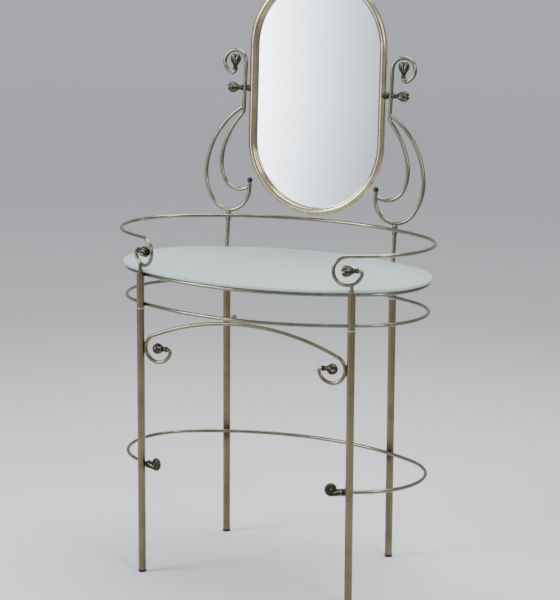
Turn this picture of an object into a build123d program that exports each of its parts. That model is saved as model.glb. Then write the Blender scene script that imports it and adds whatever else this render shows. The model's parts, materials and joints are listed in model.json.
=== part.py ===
from build123d import *
from dataclasses import dataclass
import math
import os

# A vanity table with a tilting mirror, in millimetres.
# +X is to the right of a person sitting at the table, +Y to the back and +Z up.
# Every piece is drawn about the middle of the table's plan, and the whole object is moved in Y at
# the end so that its origin is under the middle of its bounding box, on the floor.


@dataclass
class Oval:
    """A four-arc oval in plan: two small end arcs meet two long side arcs tangentially."""

    half_length: float
    half_depth: float
    end_radius: float

    @property
    def side_radius(self):
        squares = self.half_length**2 + self.half_depth**2
        return (squares - 2 * self.half_length * self.end_radius) / (2 * (self.half_depth - self.end_radius))

    @property
    def side_centre(self):
        return self.side_radius - self.half_depth

    @property
    def end_centre(self):
        return self.half_length - self.end_radius

    @property
    def meeting_angle(self):
        """The direction, in degrees above +X, in which a side arc meets an end arc."""
        return math.degrees(math.atan2(self.side_centre, self.end_centre))

    def side_y(self, x, outward=0.0):
        """The Y of the back side arc at x, moved out of the oval by outward."""
        return math.sqrt((self.side_radius + outward) ** 2 - x**2) - self.side_centre

    def grown(self, by):
        return Oval(self.half_length + by, self.half_depth + by, self.end_radius + by)


@dataclass
class Scroll:
    """A rod that runs clockwise round a circle, then turns tightly in to a finial near its middle."""

    radius: float
    turn_radius: float = 8.0
    tail: float = 8.0

    @property
    def reach(self):
        return self.radius - self.turn_radius

    @property
    def end_angle(self):
        return -90.0 - math.degrees(math.acos(self.turn_radius / self.reach))

    @property
    def finial_x(self):
        """Where the finial's foot stands on the plane's X axis, along which the finial points."""
        return -math.sqrt(self.reach**2 - self.turn_radius**2)

    def edges(self, plane, start_angle):
        """The circle from start_angle, the tight turn, and the straight tail inside the finial."""
        end = math.radians(self.end_angle)
        turn_centre = (self.reach * math.cos(end), self.reach * math.sin(end))
        circle = CenterArc((0, 0), self.radius, start_angle, self.end_angle - start_angle)
        turn = CenterArc(turn_centre, self.turn_radius, self.end_angle, -270 - self.end_angle)
        tail = Line((self.finial_x, 0), (self.finial_x + self.tail, 0))
        return [plane * edge for edge in (circle, turn, tail)]


# ---- stock ----
leg_diameter = 19.0
leg_wall = 1.2
ring_rod = 9.0
support_rod = 10.0
mirror_tube = 19.0
mirror_tube_wall = 1.5
weld_gap = 0.05
running_gap = 0.05

# ---- heights above the floor ----
stretcher_z = 276.0
arch_scroll_z = 573.0
arch_top_z = 655.0
leg_joint_z = 669.0
lower_ring_z = 678.0
leg_top_z = 756.0
support_ring_z = leg_top_z - ring_rod / 2
glass_underside_z = 758.0
gallery_z = 844.0

# ---- plan ----
table_oval = Oval(half_length=390.0, half_depth=228.0, end_radius=165.0)
gallery_oval = Oval(half_length=404.0, half_depth=240.0, end_radius=168.0)
glass_overhang = 8.0
glass_thickness = 6.0
front_leg_x = 278.0
back_leg_x = 230.0
leg_stand_off = leg_diameter / 2 + ring_rod / 2 + weld_gap
front_leg_y = -table_oval.side_y(front_leg_x, leg_stand_off)
back_leg_y = table_oval.side_y(back_leg_x, leg_stand_off)
stretcher_end_x = 262.0
gallery_end_x = 268.0

# ---- scrolls ----
table_scroll = Scroll(34.0)
support_scroll = Scroll(30.0)
finial_bore_depth = table_scroll.tail + 1.0

# ---- mirror supports, drawn in a plane that leans back from the back leg tops ----
support_lean = 6.0
support_plane = Plane(
    origin=(0, back_leg_y, leg_top_z),
    x_dir=(1, 0, 0),
    z_dir=Vector(0, -1, 0).rotate(Axis.X, -support_lean),
)
support_post_x = 200.5
pivot_height = 416.0
support_scroll_height = 481.0
post_bend_height = 362.0
bow_tip_x = 173.9
bow_tip_height = 178.0

# ---- mirror, drawn upright about the middle of its pivot axis, which is a little above its own ----
mirror_arc_radius = 177.0
mirror_straight_above = 110.0
mirror_straight_below = 126.0
mirror_middle_z = (mirror_straight_above - mirror_straight_below) / 2
mirror_rest_tilt = 2.7
mirror_glass_front_y = 5.3
mirror_glass_thickness = 4.0
mirror_glass_radius = 168.5
board_radius = 172.0
board_thickness = 3.0
board_front_y = mirror_glass_front_y + mirror_glass_thickness + weld_gap
board_back_y = board_front_y + board_thickness
clip_height_on_side = 90.0

# ---- pivots ----
pivot_bolt_diameter = 6.0
pivot_gap = 0.4
pivot_nut_radius = 5.0

foot_height = 6.0
pad_count = 8


# ---- helpers ----
def rod(edges, diameter):
    """A round rod along tangent edges."""
    path = Wire(edges)
    section = Plane(path.position_at(0), z_dir=path.tangent_at(0)) * Circle(diameter / 2)
    return sweep(section, path=path)


def upright(radius, bottom, top, x=0.0, y=0.0):
    """A vertical cylinder from bottom to top."""
    return Pos(x, y, bottom) * Cylinder(radius, top - bottom, align=(Align.CENTER, Align.CENTER, Align.MIN))


def turned(profile, plane=Plane.XY):
    """A solid of revolution about the plane's own X axis, from (distance along it, radius) points."""
    along = [point[0] for point in profile]
    outline = Polyline((along[0], 0), *profile, (along[-1], 0), close=True)
    return plane * revolve(make_face(outline), axis=Axis.X)


def bar_along_x(radius, start, end):
    return turned([(start, radius), (end, radius)])


def right_and_left(piece):
    return piece, mirror(piece, about=Plane.YZ)


def both_sides(half):
    """Joins a right half to its mirror image across the middle of the table."""
    return half + mirror(half, about=Plane.YZ)


def at_legs(make):
    """The four copies of a piece that make(x, y) draws at a leg."""
    spots = [
        (sign * x, y)
        for x, y in ((front_leg_x, front_leg_y), (back_leg_x, back_leg_y))
        for sign in (-1, 1)
    ]
    return [make(x, y) for x, y in spots]


def oval_edges(oval, z, front_until_x=None):
    """The right half of an oval, from back centre: to front centre, or to a given x on the front."""
    meeting = oval.meeting_angle
    last = -90.0 if front_until_x is None else -math.degrees(math.acos(front_until_x / oval.side_radius))
    back = CenterArc((0, -oval.side_centre, z), oval.side_radius, 90, meeting - 90)
    end = CenterArc((oval.end_centre, 0, z), oval.end_radius, meeting, -2 * meeting)
    front = CenterArc((0, oval.side_centre, z), oval.side_radius, -meeting, last + meeting)
    return [back, end, front]


def oval_face(oval):
    """The oval as a flat face in XY."""
    meeting = oval.meeting_angle
    back = CenterArc((0, -oval.side_centre), oval.side_radius, meeting, 180 - 2 * meeting)
    left = CenterArc((-oval.end_centre, 0), oval.end_radius, 180 - meeting, 2 * meeting)
    front = CenterArc((0, oval.side_centre), oval.side_radius, 180 + meeting, 180 - 2 * meeting)
    right = CenterArc((oval.end_centre, 0), oval.end_radius, -meeting, 2 * meeting)
    return make_face([back, left, front, right])


def front_tangent_plane(oval, x, z):
    """At a point on the right front of an oval: X runs inward along the oval and Y runs up."""
    y = -oval.side_y(x)
    outward = Vector(x, y - oval.side_centre, 0).normalized()
    inward_along = Vector(outward.Y, -outward.X, 0)
    return Plane(origin=(x, y, z), x_dir=inward_along, z_dir=inward_along.cross(Vector(0, 0, 1)))


def chain_edges(start, heading, steps):
    """Tangent edges in XY: a number is a straight run, and a (radius, left turn) pair is an arc."""
    edges = []
    point = Vector(*start)
    for step in steps:
        ahead = Vector(math.cos(math.radians(heading)), math.sin(math.radians(heading)))
        if isinstance(step, tuple):
            radius, turn = step
            edge = JernArc(point, ahead, radius, turn)
            heading += turn
        else:
            edge = Line(point, point + ahead * step)
        point = edge.position_at(1)
        edges.append(edge)
    return edges


# ---- castings ----
def tulip(plane, bore_radius, bore_depth):
    """A tulip finial that grows from the plane's origin along its X axis."""
    profile = [
        (0, 6.2),
        (2, 7.2),
        (4, 6.0),
        (11, 6.2),
        (17, 9.4),
        (23, 13.4),
        (30, 14.6),
        (36, 13.6),
        (40, 10.0),
        (41.5, 5.0),
    ]
    return plane * (turned(profile) - bar_along_x(bore_radius, -1, bore_depth))


def rose_ball(plane, bore_radius, bore_depth):
    """A round finial on a short neck, from the plane's origin along its X axis."""
    ball_radius = 13.5
    ball_x = 26.0
    neck = turned([(0, 6.2), (2, 7.0), (4, 5.8), (16, 5.8)])
    ball = Pos(ball_x, 0, 0) * Sphere(ball_radius)
    return plane * (neck + ball - bar_along_x(bore_radius, -1, bore_depth))


def fiddlehead(plane, bore_radius):
    """The stretcher's end casting: a ringed collar, a neck and a curl that turns up round an eye."""
    curl_start = 33.0
    curl_radius = 10.0
    curl_rod = 12.0
    eye_radius = 5.0
    eye_width = 9.0
    stem = turned(
        [
            (-4.5, 8.0),
            (-2.5, 10.0),
            (0.5, 10.0),
            (2.0, 8.2),
            (4.0, 9.6),
            (7.0, 9.6),
            (9.0, 7.0),
            (14.0, 7.0),
            (curl_start, curl_rod / 2),
        ]
    )
    curl = rod(chain_edges((curl_start, 0), 0, [(curl_radius, 270)]), curl_rod)
    eye = Pos(curl_start, curl_radius, 0) * Cylinder(eye_radius, eye_width)
    bore = bar_along_x(bore_radius, -5.5, 5.0)
    return plane * (stem + curl + eye - bore)


# ---- table frame ----
def leg_tube(x, y, bottom, top):
    outer = leg_diameter / 2
    return upright(outer, bottom, top, x, y) - upright(outer - leg_wall, bottom, top, x, y)


def leg_parts():
    """Lower and upper leg tubes, feet, joint pieces with a bare ring between the tubes, and top caps."""
    outer = leg_diameter / 2
    inner = outer - leg_wall - weld_gap
    foot_overhang = 0.3
    foot_plug_top = 18.0
    insert_depth = 28.0
    insert_recess = 0.4
    socket_depth = 26.0
    joint_ring = 1.6
    stud_radius = 4.0
    stud_length = 24.0
    plug_length = 26.0
    cap_thickness = 2.0
    cap_plug_length = 12.0
    ring_top = leg_joint_z + joint_ring
    tube_top = leg_top_z - cap_thickness
    names = ("front_left", "front_right", "back_left", "back_right")

    def foot(x, y):
        pad = upright(outer + foot_overhang, 0, foot_height, x, y)
        return pad + upright(inner, foot_height, foot_plug_top, x, y)

    def insert(x, y):
        block = upright(inner, leg_joint_z - insert_depth, leg_joint_z - insert_recess, x, y)
        return block - upright(stud_radius + running_gap, leg_joint_z - socket_depth, leg_joint_z, x, y)

    def stud(x, y):
        ring = upright(outer, leg_joint_z + weld_gap, ring_top, x, y)
        plug = upright(inner, ring_top, leg_joint_z + plug_length, x, y)
        return ring + plug + upright(stud_radius, leg_joint_z - stud_length, ring_top, x, y)

    def cap(x, y):
        disc = upright(outer, tube_top, leg_top_z, x, y)
        return disc + upright(inner, leg_top_z - cap_plug_length, tube_top, x, y)

    lower = at_legs(lambda x, y: leg_tube(x, y, foot_height, leg_joint_z))
    upper = at_legs(lambda x, y: leg_tube(x, y, ring_top + weld_gap, tube_top))
    pieces = {f"{name}_leg": tube for name, tube in zip(names, lower)}
    pieces.update({f"{name}_upper_leg": tube for name, tube in zip(names, upper)})
    pieces["foot_glides"] = Compound(at_legs(foot))
    pieces["leg_joint_inserts"] = Compound(at_legs(insert))
    pieces["leg_joint_studs"] = Compound(at_legs(stud))
    pieces["leg_top_caps"] = Compound(at_legs(cap))
    return pieces


def closed_ring(z):
    """A whole oval of ring rod at a given height."""
    return both_sides(rod(oval_edges(table_oval, z), ring_rod))


def ring_parts():
    """The two closed ovals and the tab that stands on the lower one."""
    lower = closed_ring(lower_ring_z)
    tab_half_thickness = 2.0
    tab_outline = Polygon((-8, -2), (7, -2), (7, 8), (-1, 8), align=None)
    tab = extrude(Plane.XZ * tab_outline, tab_half_thickness, both=True)
    tab = Pos(0, -table_oval.half_depth, lower_ring_z + ring_rod / 2) * tab
    return {
        "lower_ring": lower,
        "glass_support_ring": closed_ring(support_ring_z),
        "front_ring_tab": tab - lower,
    }


def stretcher_parts():
    """The rod that joins the legs below, open at the front, and the castings on its two ends."""
    half = rod(oval_edges(table_oval, stretcher_z, stretcher_end_x), ring_rod)
    end_plane = front_tangent_plane(table_oval, stretcher_end_x, stretcher_z)
    casting = fiddlehead(end_plane, ring_rod / 2 + weld_gap)
    leg_radius = leg_diameter / 2 + weld_gap
    bottom = stretcher_z - leg_diameter
    top = stretcher_z + leg_diameter
    casting -= upright(leg_radius, bottom, top, front_leg_x, front_leg_y)
    right, left = right_and_left(casting)
    return {"stretcher": both_sides(half), "right_stretcher_end": right, "left_stretcher_end": left}


def arch_parts():
    """The apron arch: one long arc that meets a scroll beside each front leg."""
    radius = table_scroll.radius
    scroll_x = front_leg_x - leg_stand_off - radius
    rise = arch_top_z - arch_scroll_z
    arch_radius = (scroll_x**2 + rise**2 - radius**2) / (2 * (rise - radius))
    meeting = math.degrees(math.acos(scroll_x / (arch_radius - radius)))
    front = Plane(origin=(0, front_leg_y, 0), x_dir=(1, 0, 0), z_dir=(0, -1, 0))
    scroll_plane = Plane(origin=(scroll_x, front_leg_y, arch_scroll_z), x_dir=(1, 0, 0), z_dir=(0, -1, 0))
    span = front * CenterArc((0, arch_top_z - arch_radius), arch_radius, 90, meeting - 90)
    half = rod([span, *table_scroll.edges(scroll_plane, meeting)], ring_rod)
    ball_plane = scroll_plane * Plane(origin=(table_scroll.finial_x, 0, 0))
    ball = rose_ball(ball_plane, ring_rod / 2 + weld_gap, finial_bore_depth)
    right, left = right_and_left(ball)
    return {"apron_arch": both_sides(half), "right_arch_finial": right, "left_arch_finial": left}


def gallery_parts():
    """The open rail above the glass, its front scrolls and finials, and the posts that carry it."""
    radius = table_scroll.radius
    end_plane = front_tangent_plane(gallery_oval, gallery_end_x, gallery_z - radius)
    edges = oval_edges(gallery_oval, gallery_z, gallery_end_x) + table_scroll.edges(end_plane, 90)
    half = rod(edges, ring_rod)
    finial_plane = end_plane * Plane(origin=(table_scroll.finial_x, 0, 0))
    right, left = right_and_left(tulip(finial_plane, ring_rod / 2 + weld_gap, finial_bore_depth))
    scroll_bottom = gallery_z - 2 * radius
    post_overlap = 3.0
    post = upright(support_rod / 2, leg_top_z, scroll_bottom + post_overlap, front_leg_x, front_leg_y)
    right_post, left_post = right_and_left(post - half)
    return {
        "gallery_rail": both_sides(half),
        "right_gallery_finial": right,
        "left_gallery_finial": left,
        "front_right_post": right_post,
        "front_left_post": left_post,
    }


def ring_point(angle):
    """The point on the support ring's centreline in a plan direction from the middle of the table."""
    across = math.cos(math.radians(angle))
    back = math.sin(math.radians(angle))
    beyond = 2 * table_oval.half_length
    ray = Line((0, 0, 0), (beyond * abs(across), beyond * back, 0))
    point = Wire(oval_edges(table_oval, 0)).intersect(ray).vertices()[0]
    return Vector(math.copysign(point.X, across), point.Y, 0)


def glass_parts():
    """The glass top and its clear pads on the support ring."""
    edge_rounding = 1.2
    pad_radius = 4.0
    pad_wrap = 2.0
    plate = extrude(oval_face(table_oval.grown(glass_overhang)), glass_thickness)
    plate = Pos(0, 0, glass_underside_z) * fillet(plate.edges(), edge_rounding)
    ring = closed_ring(support_ring_z)
    pads = []
    for number in range(pad_count):
        spot = ring_point((number + 0.5) * 360 / pad_count)
        pads.append(upright(pad_radius, leg_top_z - pad_wrap, glass_underside_z, spot.X, spot.Y) - ring)
    return {"glass_top": plate, "glass_pads": Compound(pads)}


# ---- mirror supports ----
def support_rods():
    """The right support's post rod with its scroll and inner curve, its bow, and its tulip, in plan view."""
    scroll_origin = (support_post_x + support_scroll.radius, support_scroll_height, 0)
    scroll_plane = Plane(origin=scroll_origin, x_dir=(0, 1, 0), z_dir=(0, 0, 1))
    straight = Line((support_post_x, support_scroll_height), (support_post_x, post_bend_height))
    inner_curve = chain_edges(
        (support_post_x, post_bend_height),
        -90,
        [(20.9, 41), (218.0, -27.6), (115.5, -33.9), (48.7, -101)],
    )
    bow_curve = chain_edges(
        (bow_tip_x, bow_tip_height),
        -90,
        [20.3, (55.8, 144.2), (127.9, 40.9), (207.6, 52.4)],
    )
    bow_curl = rod(bow_curve[:2], support_rod)
    upper_post = rod([straight, *inner_curve[:2]], support_rod)
    bow = rod(bow_curve, support_rod) - upper_post
    scroll = reversed(support_scroll.edges(scroll_plane, 90))
    post = rod([*scroll, straight, *inner_curve], support_rod) - bow_curl
    hole_radius = pivot_bolt_diameter / 2 + running_gap
    post -= Pos(0, pivot_height, 0) * bar_along_x(
        hole_radius, support_post_x - support_rod, support_post_x + support_rod
    )
    finial_plane = scroll_plane * Plane(origin=(support_scroll.finial_x, 0, 0))
    finial = tulip(finial_plane, support_rod / 2 + weld_gap, finial_bore_depth)
    return post, bow, finial


def support_parts():
    """Both supports, each with its tip ball, and the socket, spigot and post that carry it."""
    tip_ball_radius = 7.0
    tip_ball_rise = 4.0
    socket_radius = 7.0
    socket_bottom = 74.0
    socket_top = 96.0
    post_top = 90.0
    spigot_radius = 3.0
    spigot_bottom = 58.0
    spigot_top = 101.0
    below_leg_top = -5.0
    post, bow, finial = support_rods()
    tip_ball = Pos(bow_tip_x, bow_tip_height + tip_ball_rise, 0) * Sphere(tip_ball_radius) - bow

    def along_post(radius, bottom, top):
        cylinder = Cylinder(radius, top - bottom, align=(Align.CENTER, Align.CENTER, Align.MIN))
        return Pos(back_leg_x, bottom, 0) * Rot(-90, 0, 0) * cylinder

    sleeve = along_post(socket_radius, socket_bottom, socket_top)
    sleeve -= along_post(support_rod / 2 + weld_gap, socket_bottom, socket_top)
    tube = along_post(support_rod / 2, below_leg_top, post_top)
    tube -= along_post(spigot_radius + weld_gap, below_leg_top, post_top)
    below_leg = upright(leg_diameter, leg_top_z - leg_diameter, leg_top_z, back_leg_x, back_leg_y)

    pieces = {
        "mirror_post": post,
        "support_bow": bow,
        "bow_tip_ball": tip_ball,
        "support_finial": finial,
        "support_socket": sleeve,
        "support_spigot": along_post(spigot_radius, spigot_bottom, spigot_top) - bow,
    }
    named = {}
    for name, piece in pieces.items():
        named[f"right_{name}"], named[f"left_{name}"] = right_and_left(support_plane * piece)
    back_post = support_plane * tube - below_leg
    named["back_right_post"], named["back_left_post"] = right_and_left(back_post)
    return named


# ---- mirror ----
def stadium_face(radius):
    """The mirror's outline at a given end radius, in the XZ plane."""
    straight = mirror_straight_above + mirror_straight_below
    return Plane.XZ * Pos(0, mirror_middle_z) * SlotCenterToCenter(straight, 2 * radius, rotation=90)


def mirror_half_edges():
    """The right half of the mirror tube's centreline, from top to bottom."""
    side = Plane(origin=(0, 0, 0), x_dir=(1, 0, 0), z_dir=(0, -1, 0))
    radius = mirror_arc_radius
    top = CenterArc((0, mirror_straight_above), radius, 90, -90)
    straight = Line((radius, mirror_straight_above), (radius, -mirror_straight_below))
    bottom = CenterArc((0, -mirror_straight_below), radius, 0, -90)
    return [side * edge for edge in (top, straight, bottom)]


def clip_spots():
    """Where the six clips stand on the tube: plan position in XZ and the turn about Y that faces in."""
    x = mirror_arc_radius
    high = mirror_middle_z + clip_height_on_side
    low = mirror_middle_z - clip_height_on_side
    top = mirror_straight_above + mirror_arc_radius
    bottom = -mirror_straight_below - mirror_arc_radius
    sides = [(x, high, 0), (x, low, 0), (-x, high, 180), (-x, low, 180)]
    return [*sides, (0, top, -90), (0, bottom, 90)]


def pivot_location():
    """The middle of the pivot axis."""
    pivot = support_plane.from_local_coords(Vector(0, pivot_height, 0))
    return Pos(0, pivot.Y, pivot.Z)


def mirror_tube_parts():
    """The hollow tube with its pivot nuts, and the black spacers beside it."""
    edges = mirror_half_edges()
    outer = both_sides(rod(edges, mirror_tube))
    hollow = both_sides(rod(edges, mirror_tube - 2 * mirror_tube_wall))
    side_hole = bar_along_x(pivot_nut_radius + weld_gap, mirror_arc_radius, mirror_arc_radius + mirror_tube)

    nut_inward = 4.0
    nut_outward = 8.0
    bolt_radius = pivot_bolt_diameter / 2 + running_gap
    nut = bar_along_x(pivot_nut_radius, mirror_arc_radius - nut_inward, mirror_arc_radius + nut_outward)
    nut -= bar_along_x(bolt_radius, mirror_arc_radius - mirror_tube, mirror_arc_radius + mirror_tube)

    wide_radius = 10.0
    narrow_radius = 6.0
    post_face = support_post_x - support_rod / 2 - pivot_gap
    cone = turned(
        [
            (mirror_arc_radius + 1, wide_radius),
            (mirror_arc_radius + 10, wide_radius),
            (post_face, narrow_radius),
        ]
    )
    spacer = cone - upright(mirror_tube / 2 + weld_gap, -mirror_tube, mirror_tube, mirror_arc_radius)
    spacer -= bar_along_x(bolt_radius, mirror_arc_radius, post_face + 1)
    right_spacer, left_spacer = right_and_left(spacer)
    return {
        "mirror_frame": outer - hollow - side_hole - mirror(side_hole, about=Plane.YZ),
        "pivot_nuts": Compound(list(right_and_left(nut))),
        "right_pivot_spacer": right_spacer,
        "left_pivot_spacer": left_spacer,
    }


def backing_parts():
    """The glass, the board behind it, and the six clips with their screws and weld nuts."""
    clip_thickness = 1.5
    clip_length = 30.0
    clip_width = 12.0
    clip_inward = 9.0
    nut_radius = 4.5
    nut_front = 5.0
    screw_radius = 1.9
    screw_front = 9.8
    head_radius = 4.0
    head_height = 2.2
    clip_front = board_back_y + weld_gap
    clip_back = clip_front + clip_thickness

    def along_y(radius, start, end):
        cylinder = Cylinder(radius, end - start, align=(Align.CENTER, Align.CENTER, Align.MIN))
        return Pos(0, start, 0) * Rot(-90, 0, 0) * cylinder

    def six(piece):
        return [Pos(x, 0, z) * Rot(0, turn, 0) * piece for x, z, turn in clip_spots()]

    glass = extrude(stadium_face(mirror_glass_radius), mirror_glass_thickness, dir=(0, 1, 0))
    board = extrude(stadium_face(board_radius), board_thickness, dir=(0, 1, 0))
    screw_hole = along_y(screw_radius + weld_gap, screw_front - 2 * weld_gap, clip_back + 1)
    weld_nut = along_y(nut_radius, nut_front, board_back_y) - screw_hole
    clip = Pos(-clip_inward, (clip_front + clip_back) / 2, 0) * Box(clip_length, clip_thickness, clip_width)
    head = along_y(head_radius, clip_back, clip_back + head_height)
    screw = along_y(screw_radius, screw_front, clip_back) + head
    tube = both_sides(rod(mirror_half_edges(), mirror_tube))
    return {
        "mirror_glass": Pos(0, mirror_glass_front_y, 0) * glass,
        "mirror_backing_board": Pos(0, board_front_y, 0) * board,
        "clip_weld_nuts": Compound([nut - tube for nut in six(weld_nut)]),
        "backing_clips": Compound(six(clip - screw_hole)),
        "clip_screws": Compound(six(screw)),
    }


def mirror_parts():
    """Everything that tilts, turned back about the pivot axis to its rest angle."""
    placing = pivot_location() * Rot(-mirror_rest_tilt, 0, 0)
    pieces = {**mirror_tube_parts(), **backing_parts()}
    return {name: placing * piece for name, piece in pieces.items()}


def knob_parts():
    """A tulip knob and the bolt that it turns, one each side."""
    bore_depth = 22.0
    inside_nut = 2.0
    knob_face = support_post_x + support_rod / 2 + pivot_gap
    bolt_radius = pivot_bolt_diameter / 2
    pieces = {
        "pivot_knob": tulip(Plane(origin=(knob_face, 0, 0)), bolt_radius + weld_gap, bore_depth),
        "pivot_bolt": bar_along_x(bolt_radius, mirror_arc_radius - inside_nut, knob_face + bore_depth),
    }
    named = {}
    for name, piece in pieces.items():
        named[f"right_{name}"], named[f"left_{name}"] = right_and_left(pivot_location() * piece)
    return named


# ---- the whole object ----
def main():
    parts = {}
    makers = (
        leg_parts,
        ring_parts,
        stretcher_parts,
        arch_parts,
        gallery_parts,
        glass_parts,
        support_parts,
        mirror_parts,
        knob_parts,
    )
    for make in makers:
        parts.update(make())
    whole = Compound([solid for part in parts.values() for solid in part.solids()]).bounding_box()
    to_origin = Pos(0, -(whole.min.Y + whole.max.Y) / 2, 0)
    os.makedirs("parts", exist_ok=True)
    for name, part in parts.items():
        export_step(to_origin * part, f"parts/{name}.step")
    print(len(parts), "nodes, origin moved by", to_origin.position.Y)


main()
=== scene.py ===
import json
import math
import random

import bmesh
import bpy
from mathutils import Euler, Matrix, Vector


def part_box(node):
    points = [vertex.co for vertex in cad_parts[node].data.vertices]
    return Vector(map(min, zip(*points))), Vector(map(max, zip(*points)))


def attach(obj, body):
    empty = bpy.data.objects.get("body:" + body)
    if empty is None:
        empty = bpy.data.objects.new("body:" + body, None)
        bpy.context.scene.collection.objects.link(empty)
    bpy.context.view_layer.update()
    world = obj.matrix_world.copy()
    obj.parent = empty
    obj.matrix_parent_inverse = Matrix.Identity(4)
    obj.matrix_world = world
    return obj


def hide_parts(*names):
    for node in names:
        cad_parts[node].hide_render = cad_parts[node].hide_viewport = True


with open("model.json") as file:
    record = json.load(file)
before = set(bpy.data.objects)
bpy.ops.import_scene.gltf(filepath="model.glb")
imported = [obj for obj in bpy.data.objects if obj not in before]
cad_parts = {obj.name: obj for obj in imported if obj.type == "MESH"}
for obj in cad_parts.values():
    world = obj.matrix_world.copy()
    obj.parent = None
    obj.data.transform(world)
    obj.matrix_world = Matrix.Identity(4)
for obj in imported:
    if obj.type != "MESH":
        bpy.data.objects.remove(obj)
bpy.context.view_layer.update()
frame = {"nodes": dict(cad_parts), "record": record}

# The looks of the vanity table: finishes on every piece, cast finials, weld beads, and the studio.
# Lengths are in metres. Right is +X, the front is -Y and up is +Z.

SIDES = (("left", -1), ("right", 1))
SLOT_OF = {part["node"]: part["material_slot"] for part in frame["record"]["subparts"]}
RNG = random.Random(7)

scene = bpy.context.scene


# ---- colours ----
def linear(red, green, blue):
    """A screen colour from 0 to 255 as the linear colour that shaders take."""
    return tuple((channel / 255) ** 2.2 for channel in (red, green, blue)) + (1.0,)


BRASS = linear(116, 109, 80)
BRASS_DARK = linear(62, 57, 38)
# Lighter, greyer brass for the rods: painted highlight, the frame's brass lightened where the thin rods catch
# the light.
BRASS_ROD_PAINTED_HIGHLIGHT = linear(122, 119, 101)
# Pale cream brass for the mirror frame: painted highlight, the same brass lightened where the frame catches
# the light.
BRASS_MIRROR_PAINTED_HIGHLIGHT = linear(184, 173, 138)
BRASS_HEAT = linear(66, 42, 30)
BRONZE = linear(46, 44, 36)
BRONZE_DARK = linear(9, 9, 7)
BRONZE_RUBBED = linear(204, 200, 176)
WELD_SCALE = linear(40, 30, 22)
WELD_SHINE = linear(112, 92, 66)
STEEL = linear(214, 213, 208)
BLACK = linear(9, 9, 8)
FROSTED = linear(198, 218, 213)
CLEAR = linear(225, 228, 226)
SILVER = linear(240, 244, 248)
BOARD = linear(120, 92, 66)
BOARD_DARK = linear(88, 66, 46)
# Painted light and shade on the studio paper: bright near the table, darker further out, bright again towards
# the wall.
PAPER_NEAR_PAINTED_LIGHT = linear(202, 202, 205)
PAPER_MIDDLE_PAINTED_SHADE = linear(162, 162, 165)
PAPER_FAR_PAINTED_LIGHT = linear(212, 212, 215)


# ---- materials ----
NOISE_LOW, NOISE_HIGH = 0.3, 0.7
HEAT_RADIUS = 0.017
HEAT_HEIGHT = 0.026


class Nodes:
    """A node material that is built up one node at a time."""

    def __init__(self, name):
        self.material = bpy.data.materials.new(name)
        self.material.use_nodes = True
        self.tree = self.material.node_tree
        self.surface = self.tree.nodes["Principled BSDF"]

    def add(self, kind, links=None, **settings):
        """Adds a node; settings are its properties, and links feeds its inputs by name or number."""
        node = self.tree.nodes.new(kind)
        for key, value in settings.items():
            setattr(node, key, value)
        for key, value in (links or {}).items():
            self.feed(node.inputs[key], value)
        return node

    def feed(self, socket, value):
        """Connects an output to the socket, or sets the socket to a constant."""
        if isinstance(value, bpy.types.NodeSocket):
            self.tree.links.new(value, socket)
        else:
            socket.default_value = value

    def set(self, **values):
        """Feeds the surface shader's inputs, written with underscores for spaces."""
        for key, value in values.items():
            self.feed(self.surface.inputs[key.replace("_", " ")], value)

    def noise(self, scale, detail=4.0, vector=None):
        links = {"Scale": scale, "Detail": detail}
        if vector is not None:
            links["Vector"] = vector
        return self.add("ShaderNodeTexNoise", links).outputs["Fac"]

    def spread(self, value, low, high, to_low=0.0, to_high=1.0):
        """Maps value from low..high to to_low..to_high, clamped at both ends."""
        links = {"Value": value, "From Min": low, "From Max": high, "To Min": to_low, "To Max": to_high}
        return self.add("ShaderNodeMapRange", links).outputs["Result"]

    def noise_between(self, noise, to_low, to_high):
        """Maps the range that a noise usually covers to to_low..to_high."""
        return self.spread(noise, NOISE_LOW, NOISE_HIGH, to_low, to_high)

    def mix(self, factor, first, second):
        node = self.add("ShaderNodeMix", data_type="RGBA")
        self.feed(node.inputs["Factor"], factor)
        self.feed(node.inputs["A"], first)
        self.feed(node.inputs["B"], second)
        return node.outputs["Result"]

    def vector_maths(self, operation, first, second, output):
        node = self.add("ShaderNodeVectorMath", {0: first, 1: second}, operation=operation)
        return node.outputs[output]

    def maths(self, operation, first, second):
        return self.add("ShaderNodeMath", {0: first, 1: second}, operation=operation).outputs[0]

    def position(self, stretch=(1.0, 1.0, 1.0)):
        """The object's own coordinates, which are the row frame's, scaled on each axis."""
        place = self.add("ShaderNodeTexCoord").outputs["Object"]
        mapping = self.add("ShaderNodeMapping", {"Vector": place, "Scale": stretch})
        return mapping.outputs["Vector"]

    def bump(self, height, distance, strength=1.0):
        links = {"Height": height, "Distance": distance, "Strength": strength}
        return self.add("ShaderNodeBump", links).outputs["Normal"]


def near_points(nodes, points, radius, height):
    """1 at any of the points and 0 away from them, ragged at the edge; height is the reach in Z."""
    place = nodes.position()
    ragged = nodes.maths("MULTIPLY", nodes.noise(160.0, 3.0, place), radius)
    flatten = (1.0, 1.0, radius / height)
    total = 0.0
    for point in points:
        away = nodes.vector_maths("SUBTRACT", place, tuple(point), "Vector")
        away = nodes.vector_maths("MULTIPLY", away, flatten, "Vector")
        distance = nodes.vector_maths("LENGTH", away, (0.0, 0.0, 0.0), "Value")
        close = nodes.spread(nodes.maths("ADD", distance, ragged), radius, radius * 1.7, 1.0, 0.0)
        total = close if isinstance(total, float) else nodes.maths("MAXIMUM", total, close)
    return total


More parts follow.
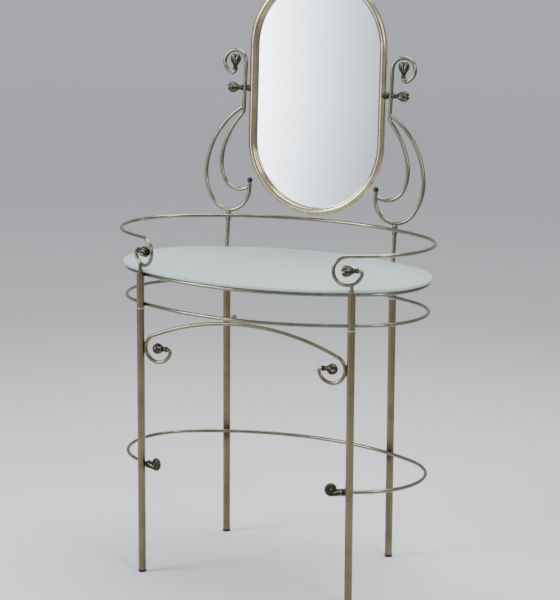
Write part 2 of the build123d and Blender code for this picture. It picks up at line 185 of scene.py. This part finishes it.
def brass(name, colour, roughness, heat_points=()):
    """Antique brass lacquer, clouded and streaked, and burnt around the heat points if there are any."""
    nodes = Nodes(name)
    streaks = nodes.noise(40.0, 5.0, nodes.position((1.0, 1.0, 0.08)))
    clouds = nodes.noise(22.0, 4.0, nodes.position())
    fine = nodes.noise(700.0, 3.0, nodes.position((1.0, 1.0, 0.3)))
    shade = nodes.spread(nodes.maths("ADD", streaks, clouds), 0.8, 1.3)
    finish = nodes.mix(shade, colour, nodes.mix(0.5, colour, BRASS_DARK))
    if heat_points:
        stained = near_points(nodes, heat_points, HEAT_RADIUS, HEAT_HEIGHT)
        finish = nodes.mix(stained, finish, BRASS_HEAT)
    nodes.set(
        Base_Color=finish,
        Metallic=1.0,
        Roughness=nodes.noise_between(fine, roughness - 0.03, roughness + 0.05),
        Coat_Weight=0.7,
        Coat_Roughness=0.08,
    )
    return nodes.material


def bronze():
    """Blackened castings: dark in the hollows, rubbed bright on the raised edges."""
    nodes = Nodes("dark_bronze_castings")
    pits = nodes.noise(500.0, 5.0, nodes.position())
    raised = nodes.add("ShaderNodeNewGeometry").outputs["Pointiness"]
    worn = nodes.maths("ADD", raised, nodes.maths("MULTIPLY", pits, 0.10))
    rubbed = nodes.spread(worn, 0.575, 0.65, 0.0, 0.9)
    hollow = nodes.spread(raised, 0.44, 0.50, 1.0, 0.0)
    colour = nodes.mix(rubbed, nodes.mix(hollow, BRONZE, BRONZE_DARK), BRONZE_RUBBED)
    nodes.set(
        Base_Color=colour,
        Metallic=0.85,
        Roughness=nodes.noise_between(pits, 0.28, 0.46),
        Normal=nodes.bump(pits, 0.0004, 0.5),
    )
    return nodes.material


def weld_metal():
    """Burnt weld beads: dark brown scale with a dull shine."""
    nodes = Nodes("weld_scale")
    scale = nodes.noise(380.0, 5.0, nodes.position())
    colour = nodes.mix(nodes.spread(scale, 0.4, 0.65), WELD_SCALE, WELD_SHINE)
    nodes.set(Base_Color=colour, Metallic=0.7, Roughness=0.5, Normal=nodes.bump(scale, 0.0005, 0.8))
    return nodes.material


def steel():
    nodes = Nodes("bare_steel")
    scratches = nodes.noise(300.0, 4.0, nodes.position((1.0, 6.0, 1.0)))
    nodes.set(Base_Color=STEEL, Metallic=1.0, Roughness=nodes.noise_between(scratches, 0.25, 0.45))
    return nodes.material


def black_plastic():
    nodes = Nodes("black_plastic")
    grain = nodes.noise(1500.0, 2.0, nodes.position())
    nodes.set(Base_Color=BLACK, Roughness=0.5, Normal=nodes.bump(grain, 0.00005, 0.6))
    return nodes.material


def frosted_glass():
    """Etched glass: pale green and milky."""
    nodes = Nodes("frosted_glass")
    grain = nodes.noise(2500.0, 2.0, nodes.position())
    nodes.set(
        Base_Color=FROSTED,
        Roughness=nodes.noise_between(grain, 0.42, 0.5),
        Transmission_Weight=0.5,
        IOR=1.5,
        Specular_IOR_Level=0.5,
    )
    return nodes.material


def clear_plastic():
    nodes = Nodes("clear_plastic")
    nodes.set(Base_Color=CLEAR, Roughness=0.25, Transmission_Weight=0.8, IOR=1.45)
    return nodes.material


def mirror_silver():
    nodes = Nodes("mirror_silver")
    haze = nodes.noise(3.0, 2.0, nodes.position())
    nodes.set(Base_Color=SILVER, Metallic=1.0, Roughness=nodes.noise_between(haze, 0.02, 0.04))
    return nodes.material


def hardboard():
    nodes = Nodes("hardboard")
    fibres = nodes.noise(220.0, 6.0, nodes.position())
    colour = nodes.mix(nodes.spread(fibres, 0.35, 0.65), BOARD, BOARD_DARK)
    nodes.set(Base_Color=colour, Roughness=0.7, Normal=nodes.bump(fibres, 0.0002, 0.5))
    return nodes.material


# ---- places taken from the CAD ----
MM = 0.001
TABLE_END_RADIUS = 0.165
GALLERY_END_RADIUS = 0.168
LEG_NAMES = ("front_left", "front_right", "back_left", "back_right")


def middle(node):
    low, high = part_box(node)
    return (low + high) / 2


TABLE_MIDDLE = middle("glass_top")
ROD_RADIUS = middle("stretcher").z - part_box("stretcher")[0].z
LEG_RADIUS = middle("front_left_leg").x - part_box("front_left_leg")[0].x
LEGS = {name: middle(f"{name}_leg") for name in LEG_NAMES}


class SideArc:
    """The long arc on the front and back of an oval rod, in plan."""

    def __init__(self, node, end_radius):
        low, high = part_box(node)
        half_length = (high.x - low.x) / 2 - ROD_RADIUS
        half_depth = high.y - TABLE_MIDDLE.y - ROD_RADIUS
        squares = half_length**2 + half_depth**2
        self.radius = (squares - 2 * half_length * end_radius) / (2 * (half_depth - end_radius))
        self.centre = self.radius - half_depth

    def front_point(self, x, z):
        """The rod's middle on the front of the oval."""
        return Vector((x, TABLE_MIDDLE.y + self.centre - math.sqrt(self.radius**2 - x**2), z))

    def inward_along(self, x):
        """The direction along the front of the oval, towards the middle of the table."""
        turn = math.asin(abs(x) / self.radius)
        return Vector((-math.copysign(math.cos(turn), x), -math.sin(turn), 0))

    def towards(self, point):
        """The direction in plan from a leg to the ring beside it."""
        centre_y = TABLE_MIDDLE.y - math.copysign(self.centre, point.y - TABLE_MIDDLE.y)
        return Vector((-point.x, centre_y - point.y, 0)).normalized()


TABLE_ARC = SideArc("lower_ring", TABLE_END_RADIUS)
GALLERY_ARC = SideArc("gallery_rail", GALLERY_END_RADIUS)


def ring_contact_points(heights):
    """Where the rods at these heights touch the four legs."""
    points = []
    for leg in LEGS.values():
        inward = TABLE_ARC.towards(leg)
        for height in heights:
            points.append(Vector((leg.x, leg.y, height)) + inward * LEG_RADIUS)
    return points


# ---- mesh building ----
CAST_SEGMENTS = 40


def new_piece(name, vertices, faces, body, material):
    mesh = bpy.data.meshes.new(name)
    mesh.from_pydata([tuple(v) for v in vertices], [], faces)
    build = bmesh.new()
    build.from_mesh(mesh)
    bmesh.ops.recalc_face_normals(build, faces=build.faces)
    build.to_mesh(mesh)
    build.free()
    piece = bpy.data.objects.new(name, mesh)
    scene.collection.objects.link(piece)
    mesh.materials.append(material)
    for face in mesh.polygons:
        face.use_smooth = True
    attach(piece, body)
    return piece


class Surface:
    """Vertices and faces that are gathered from several sheets."""

    def __init__(self):
        self.vertices = []
        self.faces = []

    def sheet(self, rows, closed_across=False, capped=False):
        """A sheet through rows of points; closed_across joins each row's end to its start."""
        start = len(self.vertices)
        count = len(rows[0])
        for row in rows:
            self.vertices.extend(row)
        steps = count if closed_across else count - 1
        for j in range(len(rows) - 1):
            for i in range(steps):
                a = start + j * count + i
                b = start + j * count + (i + 1) % count
                self.faces.append((a, b, b + count, a + count))
        if capped:
            self.faces.append(tuple(range(start, start + count)))
            last = start + (len(rows) - 1) * count
            self.faces.append(tuple(range(last, last + count)))

    def placed(self, matrix):
        return [matrix @ Vector(v) for v in self.vertices]


def lathe_rows(profile, segments, ripple=None):
    """Rings about local X from (distance, radius) pairs; ripple(distance, angle) scales the radius."""
    rows = []
    for along, radius in profile:
        row = []
        for i in range(segments):
            angle = 2 * math.pi * i / segments
            size = radius * (ripple(along, angle) if ripple else 1.0)
            row.append((along, size * math.cos(angle), size * math.sin(angle)))
        rows.append(row)
    return rows


def smooth_profile(points, per_span=5):
    """Points of a smooth curve through the given (distance, radius) pairs."""
    padded = [points[0], *points, points[-1]]
    result = []
    for i in range(1, len(padded) - 2):
        p0, p1, p2, p3 = (Vector(padded[i + k]) for k in (-1, 0, 1, 2))
        for step in range(per_span):
            t = step / per_span
            square = (2 * p0 - 5 * p1 + 4 * p2 - p3) * t**2
            cube = (3 * p1 - p0 - 3 * p2 + p3) * t**3
            point = 0.5 * (2 * p1 + (p2 - p0) * t + square + cube)
            result.append((point.x, point.y))
    result.append(tuple(points[-1]))
    return result


def petal_rows(spine, width, angle, thickness, curl):
    """One petal: spine is (distance, radius) pairs, broad until it rounds off, curled in at its edges."""
    across = 9
    rows = []
    last = len(spine) - 1
    for step, (along, radius) in enumerate(spine):
        up = step / last
        tip = math.sqrt(max(min((1 - up) / 0.4, 1.0), 0.01))
        spread = width * tip * (0.6 + 0.4 * min(up / 0.4, 1.0))
        outer, inner = [], []
        for i in range(across):
            side = 2 * i / (across - 1) - 1
            turn = angle + spread * side
            lift = radius * (1 - curl * side**2)
            thin = lift - thickness * (1 - 0.8 * abs(side))
            outer.append((along, lift * math.cos(turn), lift * math.sin(turn)))
            inner.append((along, thin * math.cos(turn), thin * math.sin(turn)))
        rows.append(outer + list(reversed(inner)))
    return rows


def tube_rows(path, segments, flutes, depth):
    """Rings round a path in the XZ plane of (x, z, radius) points, with shallow flutes along it."""
    rows = []
    side = Vector((0, 1, 0))
    for step, (x, z, radius) in enumerate(path):
        before = path[max(step - 1, 0)]
        after = path[min(step + 1, len(path) - 1)]
        ahead = Vector((after[0] - before[0], 0, after[1] - before[1])).normalized()
        away = Vector((-ahead.z, 0, ahead.x))
        row = []
        for i in range(segments):
            angle = 2 * math.pi * i / segments
            size = radius * (1 + depth * math.cos(flutes * angle))
            row.append(tuple(Vector((x, 0, z)) + (away * math.cos(angle) + side * math.sin(angle)) * size))
        rows.append(row)
    return rows


def axis_matrix(origin, ahead, up=Vector((0, 0, 1))):
    """Local X along ahead, with local Z as near to up as it can be."""
    x_axis = ahead.normalized()
    y_axis = up.cross(x_axis)
    if y_axis.length < 1e-4:
        y_axis = Vector((0, 1, 0)).cross(x_axis)
    y_axis.normalize()
    z_axis = x_axis.cross(y_axis)
    rotation = Matrix((x_axis, y_axis, z_axis)).transposed().to_4x4()
    return Matrix.Translation(origin) @ rotation


def tulip_surface():
    """A ringed stem that opens into two whorls of rounded petals round a bud."""
    shape = Surface()

    def lobed(count, depth):
        return lambda along, angle: 1 + depth * math.cos(count * angle) * min(along / 12, 1)

    rings = [(0, 5.8), (0.8, 7.1), (2.6, 7.1), (3.6, 5.6), (5.0, 6.8), (6.4, 5.6)]
    stem = [*rings, (10, 5.4), (15, 7.6), (19, 10)]
    shape.sheet(lathe_rows(smooth_profile(stem), CAST_SEGMENTS, lobed(8, 0.05)), True, True)
    bud = [(16, 6.5), (21, 10.2), (28, 11.2), (33, 9.8), (36, 6.6), (37.4, 1.0)]
    shape.sheet(lathe_rows(smooth_profile(bud), CAST_SEGMENTS, lobed(5, 0.05)), True, True)
    outer = smooth_profile([(10, 5.6), (14, 8.0), (19, 11.6), (24, 13.6), (30, 14.3), (36, 13.4)], 4)
    inner = smooth_profile([(15, 7.6), (20, 11.0), (27, 12.8), (33, 12.6), (37.5, 11.0), (40.6, 8.6)], 4)
    count = 5
    for number in range(count):
        turn = 2 * math.pi * number / count
        shape.sheet(petal_rows(outer, 0.55, turn, 1.5, 0.12), True, True)
        shape.sheet(petal_rows(inner, 0.57, turn + math.pi / count, 1.4, 0.10), True, True)
    return shape


def rose_surface():
    """A short leafy neck and a ball wrapped in overlapping petals."""
    shape = Surface()

    def leafy(along, angle):
        return 1 + 0.06 * math.cos(7 * angle) * min(along / 8, 1)

    neck = smooth_profile([(0, 5.6), (1, 7.0), (3, 6.8), (4.5, 5.6), (10, 5.8), (15, 8.0)])
    shape.sheet(lathe_rows(neck, CAST_SEGMENTS, leafy), True, True)
    ball_middle, ball_radius = 26.0, 12.3
    ball_steps, spine_steps = 24, 12
    turns = [math.pi * step / ball_steps for step in range(ball_steps + 1)]
    ball = [(ball_middle - ball_radius * math.cos(t), max(ball_radius * math.sin(t), 0.05)) for t in turns]
    shape.sheet(lathe_rows(ball, 48), True, True)
    whorls = ((0.18, 0.58, 13.5, 6), (0.36, 0.76, 13.4, 6), (0.56, 0.93, 13.2, 5))
    for row, (first, last, size, count) in enumerate(whorls):
        spine = []
        for step in range(spine_steps + 1):
            turn = math.pi * (first + (last - first) * step / spine_steps)
            spine.append((ball_middle - size * math.cos(turn), size * math.sin(turn)))
        for number in range(count):
            angle = 2 * math.pi * (number + 0.5 * (row % 2)) / count
            shape.sheet(petal_rows(spine, 0.56, angle, 1.2, 0.05), True, True)
    return shape


def eye_rows(middle_x, middle_z, radius, half_width):
    """A pod that lies across the curl, with its ends at half_width on both sides."""
    latitudes, around = 12, 24
    rows = []
    for step in range(latitudes + 1):
        latitude = math.pi * step / latitudes
        size = max(radius * math.sin(latitude), 0.02)
        across = half_width * math.cos(latitude)
        turns = [2 * math.pi * i / around for i in range(around)]
        rows.append([(middle_x + size * math.cos(t), across, middle_z + size * math.sin(t)) for t in turns])
    return rows


def fiddlehead_surface():
    """A ringed collar, a fluted neck and a fern curl that turns up and in round an eye."""
    shape = Surface()
    first_ring = [(-3.4, 6.5), (-2.6, 9.4), (-0.4, 9.8), (0.8, 7.8)]
    second_ring = [(2.2, 7.8), (3.4, 9.6), (6, 9.6), (7.4, 7.6), (9, 7)]
    shape.sheet(lathe_rows(smooth_profile(first_ring + second_ring), CAST_SEGMENTS), True, True)
    middle_x, middle_z = 31.0, 8.0
    first_reach, last_reach = 12.6, 2.4
    first_thick, last_thick = 5.3, 3.2
    path = [(6, 0, 7.4), (10, 0, 8.4), (15, -0.3, 8.5), (20, -1.3, 7.9), (24, -2.6, 7.1), (28, -3.9, 6.1)]
    turns, steps = 1.75, 90
    for step in range(steps + 1):
        part = step / steps
        turn = -math.pi / 2 + 2 * math.pi * turns * part
        reach = first_reach + (last_reach - first_reach) * part
        thick = first_thick + (last_thick - first_thick) * part
        path.append((middle_x + reach * math.cos(turn), middle_z + reach * math.sin(turn), thick))
    shape.sheet(tube_rows(path, 36, 6, 0.06), True, True)
    shape.sheet(eye_rows(middle_x, middle_z, 3.4, 5.4), True, True)
    return shape


def scaled(surface):
    surface.vertices = [tuple(MM * c for c in v) for v in surface.vertices]
    return surface


def place_casting(name, surface, node, origin, ahead, body):
    matrix = axis_matrix(origin, ahead)
    piece = new_piece(name, surface.placed(matrix), surface.faces, body, FINISHES["dark_bronze_castings"])
    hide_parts(node)


# ---- finishes on the CAD pieces ----
STRETCHER_Z = middle("stretcher").z
RING_HEIGHTS = (STRETCHER_Z, middle("lower_ring").z, middle("glass_support_ring").z)
ROD_NODES = (
    "lower_ring",
    "glass_support_ring",
    "front_ring_tab",
    "stretcher",
    "gallery_rail",
    *(f"{name}_post" for name in LEG_NAMES),
    *(f"{side}_{part}" for side, _ in SIDES for part in ("mirror_post", "support_bow", "support_socket")),
)
# The rods' lighter copy of the frame's brass is painted highlight.
ROD_FINISH_PAINTED_HIGHLIGHT = brass("antique_brass_rods_painted_highlight", BRASS_ROD_PAINTED_HIGHLIGHT, 0.22)
FINISHES = {
    "antique_brass_frame": brass("antique_brass_frame", BRASS, 0.30, ring_contact_points((STRETCHER_Z,))),
    # The mirror frame's pale brass is painted highlight.
    "antique_brass_mirror_frame": brass("antique_brass_mirror_frame", BRASS_MIRROR_PAINTED_HIGHLIGHT, 0.20),
    "dark_bronze_castings": bronze(),
    "bare_steel": steel(),
    "black_plastic": black_plastic(),
    "frosted_glass": frosted_glass(),
    "clear_plastic": clear_plastic(),
    "mirror_silver": mirror_silver(),
    "hardboard": hardboard(),
}


def finish_cad_nodes():
    for name, node in frame["nodes"].items():
        node.data.materials.clear()
        # Rods take the lighter brass copy that carries the painted highlight.
        node.data.materials.append(ROD_FINISH_PAINTED_HIGHLIGHT if name in ROD_NODES else FINISHES[SLOT_OF[name]])


# ---- castings ----
# The outline of the CAD tulip: (distance from its foot, radius) in millimetres.
CAD_TULIP_STEM = ((0, 6.2), (2, 7.2), (4, 6.0), (11, 6.2), (17, 9.4))
CAD_TULIP_CUP = ((23, 13.4), (30, 14.6), (36, 13.6), (40, 10.0), (41.5, 5.0))
SUPPORT_LEAN = math.radians(6.0)
STRETCHER_END_X = 0.262
GALLERY_END_X = 0.268


def tulip_origin(node, ahead):
    """The foot of a CAD tulip that points ahead, from its box."""
    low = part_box(node)[0]
    origin = Vector((0, 0, 0))
    for axis in range(3):
        across = math.sqrt(max(1 - ahead[axis] ** 2, 0.0))
        reach = min(along * ahead[axis] - radius * across for along, radius in CAD_TULIP_STEM + CAD_TULIP_CUP)
        origin[axis] = low[axis] - reach * MM
    return origin


def add_castings():
    tulip, rose, fiddlehead = (scaled(make()) for make in (tulip_surface, rose_surface, fiddlehead_surface))
    for side, sign in SIDES:
        tulips = (
            ("pivot_knob", Vector((sign, 0, 0)), f"{side}_knob"),
            ("support_finial", Vector((0, math.sin(SUPPORT_LEAN), math.cos(SUPPORT_LEAN))), "frame"),
            ("gallery_finial", GALLERY_ARC.inward_along(sign * GALLERY_END_X), "frame"),
        )
        for part, ahead, body in tulips:
            node = f"{side}_{part}"
            place_casting(f"{node}_cast", tulip, node, tulip_origin(node, ahead), ahead, body)
        low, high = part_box(f"{side}_arch_finial")
        origin = (low + high) / 2
        origin.x = low.x if sign > 0 else high.x
        place_casting(f"{side}_arch_rose", rose, f"{side}_arch_finial", origin, Vector((sign, 0, 0)), "frame")
        end = sign * STRETCHER_END_X
        origin = TABLE_ARC.front_point(end, STRETCHER_Z)
        ahead = TABLE_ARC.inward_along(end)
        place_casting(f"{side}_stretcher_curl", fiddlehead, f"{side}_stretcher_end", origin, ahead, "frame")


# ---- welds ----
ROD_WELD_OFFSET = 3.4 * MM
ROD_WELD_RADIUS = 2.3 * MM
ROD_WELD_LENGTH = 11 * MM
ARCH_WELD_OFFSET = 9 * MM
ARCH_WELD_RADIUS = 2.0 * MM
ARCH_WELD_LENGTH = 12 * MM
HEIGHT_TOLERANCE = 0.5 * MM


def bead(surface, centre, along, radius, length):
    """One lumpy weld bead with its middle at centre."""
    frame_matrix = axis_matrix(centre, along)
    rows = []
    steps, around = 14, 12
    for step in range(steps + 1):
        part = 2 * step / steps - 1
        row = []
        ripple = 1 + 0.14 * math.cos(part * 9.0) + RNG.uniform(-0.08, 0.08)
        size = max(radius * math.sqrt(max(1 - part**2, 0.0)) * ripple, radius * 0.05)
        for i in range(around):
            angle = 2 * math.pi * i / around
            point = Vector((part * length / 2, size * math.cos(angle), size * math.sin(angle)))
            row.append(tuple(frame_matrix @ point))
        rows.append(row)
    surface.sheet(rows, True, True)


def add_welds():
    """Beads above and below each rod on a leg, none on top of the glass support ring, and beside the arch."""
    surface = Surface()
    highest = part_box("glass_support_ring")[1].z - HEIGHT_TOLERANCE
    for leg in LEGS.values():
        inward = TABLE_ARC.towards(leg)
        sideways = Vector((-inward.y, inward.x, 0))
        for height in RING_HEIGHTS:
            touch = Vector((leg.x, leg.y, height)) + inward * LEG_RADIUS
            for up in (-1, 1):
                if height + up * ROD_RADIUS < highest:
                    place = touch + Vector((0, 0, up * ROD_WELD_OFFSET))
                    bead(surface, place, sideways, ROD_WELD_RADIUS, ROD_WELD_LENGTH)
    arch_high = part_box("apron_arch")[1]
    scroll_z = middle("right_arch_finial").z
    for sign in (-1, 1):
        for up in (-1, 1):
            place = Vector((sign * arch_high.x, LEGS["front_left"].y, scroll_z + up * ARCH_WELD_OFFSET))
            bead(surface, place, Vector((0, 0, 1)), ARCH_WELD_RADIUS, ARCH_WELD_LENGTH)
    piece = new_piece("weld_beads", surface.vertices, surface.faces, "frame", weld_metal())


finish_cad_nodes()
add_castings()
add_welds()


# ---- studio ----
FLOOR_RADIUS = 9.5
SWEEP_RADIUS = 2.5
WALL_TOP = 4.6
FLOOR_RINGS = 12
SWEEP_STEPS = 16
FLOOR_SEGMENTS = 96
REFLECTOR_WIDTH = 1.6
REFLECTOR_HEIGHT = 2.0
REFLECTOR_OFFSET = Vector((-1.86, -4.2, 0.1))
REFLECTOR_CONTRAST = 10.0
REFLECTOR_BRIGHT = (0.74, 0.78, 0.84, 1.0)
REFLECTOR_DIM = (0.78, 0.83, 0.87, 1.0)
AIR_COLOUR = (0.80, 0.82, 0.85, 1.0)
AIR_STRENGTH = 0.85
CAMERA_LENS = 123.36
CAMERA_SHIFT = -0.10
CAMERA_PLACE = Vector((2.092, -4.452 + TABLE_MIDDLE.y, 1.742))
CAMERA_AZIMUTH = math.radians(25.035)
CAMERA_PITCH = math.radians(10.488)
CAMERA_ROLL = math.radians(0.332)


def add_floor():
    """A round pale floor that sweeps up into a plain wall all the way round, with painted light and shade in
    its colour: brighter near the table, darker further out, brighter again towards the wall.
    """
    profile = [(max(FLOOR_RADIUS * step / FLOOR_RINGS, 0.0001), 0.0) for step in range(FLOOR_RINGS + 1)]
    for step in range(1, SWEEP_STEPS + 1):
        turn = math.pi / 2 * step / SWEEP_STEPS
        profile.append((FLOOR_RADIUS + SWEEP_RADIUS * math.sin(turn), SWEEP_RADIUS * (1 - math.cos(turn))))
    profile.append((FLOOR_RADIUS + SWEEP_RADIUS, WALL_TOP))
    shape = Surface()
    turns = [2 * math.pi * i / FLOOR_SEGMENTS for i in range(FLOOR_SEGMENTS)]
    rows = []
    for reach, height in profile:
        rows.append([(reach * math.cos(turn), reach * math.sin(turn), height) for turn in turns])
    shape.sheet(rows, True)
    mesh = bpy.data.meshes.new("studio_floor")
    mesh.from_pydata(shape.vertices, [], shape.faces)
    floor = bpy.data.objects.new("studio_floor", mesh)
    scene.collection.objects.link(floor)
    nodes = Nodes("studio_painted_light_paper")
    distance = nodes.vector_maths("LENGTH", nodes.position(), (0.0, 0.0, 0.0), "Value")
    # Painted light and shade: the paper's colour falls from bright near the table to darker further out, then
    # rises towards the wall.
    painted_light_paper = nodes.mix(nodes.spread(distance, 0.4, 2.8), PAPER_NEAR_PAINTED_LIGHT, PAPER_MIDDLE_PAINTED_SHADE)
    painted_light_paper = nodes.mix(nodes.spread(distance, 3.0, FLOOR_RADIUS), painted_light_paper, PAPER_FAR_PAINTED_LIGHT)
    nodes.set(Base_Color=painted_light_paper, Roughness=0.9)
    mesh.materials.append(nodes.material)
    for face in mesh.polygons:
        face.use_smooth = True


def add_panel():
    """A glowing panel in front, to the left, that shows only in reflections: brighter towards -X."""
    half_width, half_height = REFLECTOR_WIDTH / 2, REFLECTOR_HEIGHT / 2
    shape = Surface()
    shape.sheet([[(x * half_width, y * half_height, 0.0) for x in (-1, 1)] for y in (-1, 1)])
    mesh = bpy.data.meshes.new("studio_reflector")
    mesh.from_pydata(shape.vertices, [], shape.faces)
    panel = bpy.data.objects.new("studio_reflector", mesh)
    scene.collection.objects.link(panel)
    mirror_middle = middle("mirror_glass")
    panel.location = mirror_middle + REFLECTOR_OFFSET
    panel.rotation_euler = (mirror_middle - panel.location).to_track_quat("Z", "Y").to_euler()
    nodes = Nodes("studio_reflector")
    place = nodes.add("ShaderNodeSeparateXYZ", {"Vector": nodes.position()})
    across = nodes.spread(place.outputs["X"], -0.36, 0.36)
    from_middle = nodes.maths("ABSOLUTE", place.outputs["Y"], 0.0)
    ends = nodes.spread(from_middle, 0.25, 0.75, 1.0, 0.8)
    strength = nodes.maths("MULTIPLY", nodes.maths("POWER", REFLECTOR_CONTRAST, across), ends)
    nodes.set(
        Base_Color=linear(0, 0, 0),
        Roughness=1.0,
        Specular_IOR_Level=0.0,
        Emission_Color=nodes.mix(across, REFLECTOR_DIM, REFLECTOR_BRIGHT),
        Emission_Strength=strength,
    )
    mesh.materials.append(nodes.material)
    panel.visible_camera = False
    panel.visible_diffuse = False
    panel.visible_shadow = False


def add_light(name, place, target, size, power):
    data = bpy.data.lights.new(name, "AREA")
    data.shape = "RECTANGLE"
    data.size, data.size_y = size
    data.energy = power
    light = bpy.data.objects.new(name, data)
    scene.collection.objects.link(light)
    light.location = place
    light.rotation_euler = (Vector(target) - Vector(place)).to_track_quat("-Z", "Y").to_euler()
    light.visible_camera = False


def add_lights():
    add_light("key", (-3.3, -2.8, 3.0), (0, 0, 0.8), (1.6, 2.4), 215)
    add_light("fill", (3.6, -2.2, 2.8), (0, 0, 0.8), (1.0, 2.2), 75)
    add_light("top", (0.3, 0.6, 4.2), (0, 0, 0), (3.0, 2.4), 210)
    world = bpy.data.worlds.new("studio_air")
    world.use_nodes = True
    air = world.node_tree.nodes["Background"]
    air.inputs["Color"].default_value = AIR_COLOUR
    air.inputs["Strength"].default_value = AIR_STRENGTH
    scene.world = world


def add_camera():
    """From the right of the sitter and above the table, at the height of a standing person's eyes."""
    data = bpy.data.cameras.new("camera")
    data.lens = CAMERA_LENS
    data.shift_y = CAMERA_SHIFT
    data.clip_end = 60.0
    camera = bpy.data.objects.new("camera", data)
    scene.collection.objects.link(camera)
    camera.location = CAMERA_PLACE
    level = Euler((math.pi / 2 - CAMERA_PITCH, 0, CAMERA_AZIMUTH)).to_matrix()
    aim = level @ Matrix.Rotation(CAMERA_ROLL, 3, "Z")
    camera.rotation_euler = aim.to_euler()
    scene.camera = camera


add_floor()
add_panel()
add_lights()
add_camera()
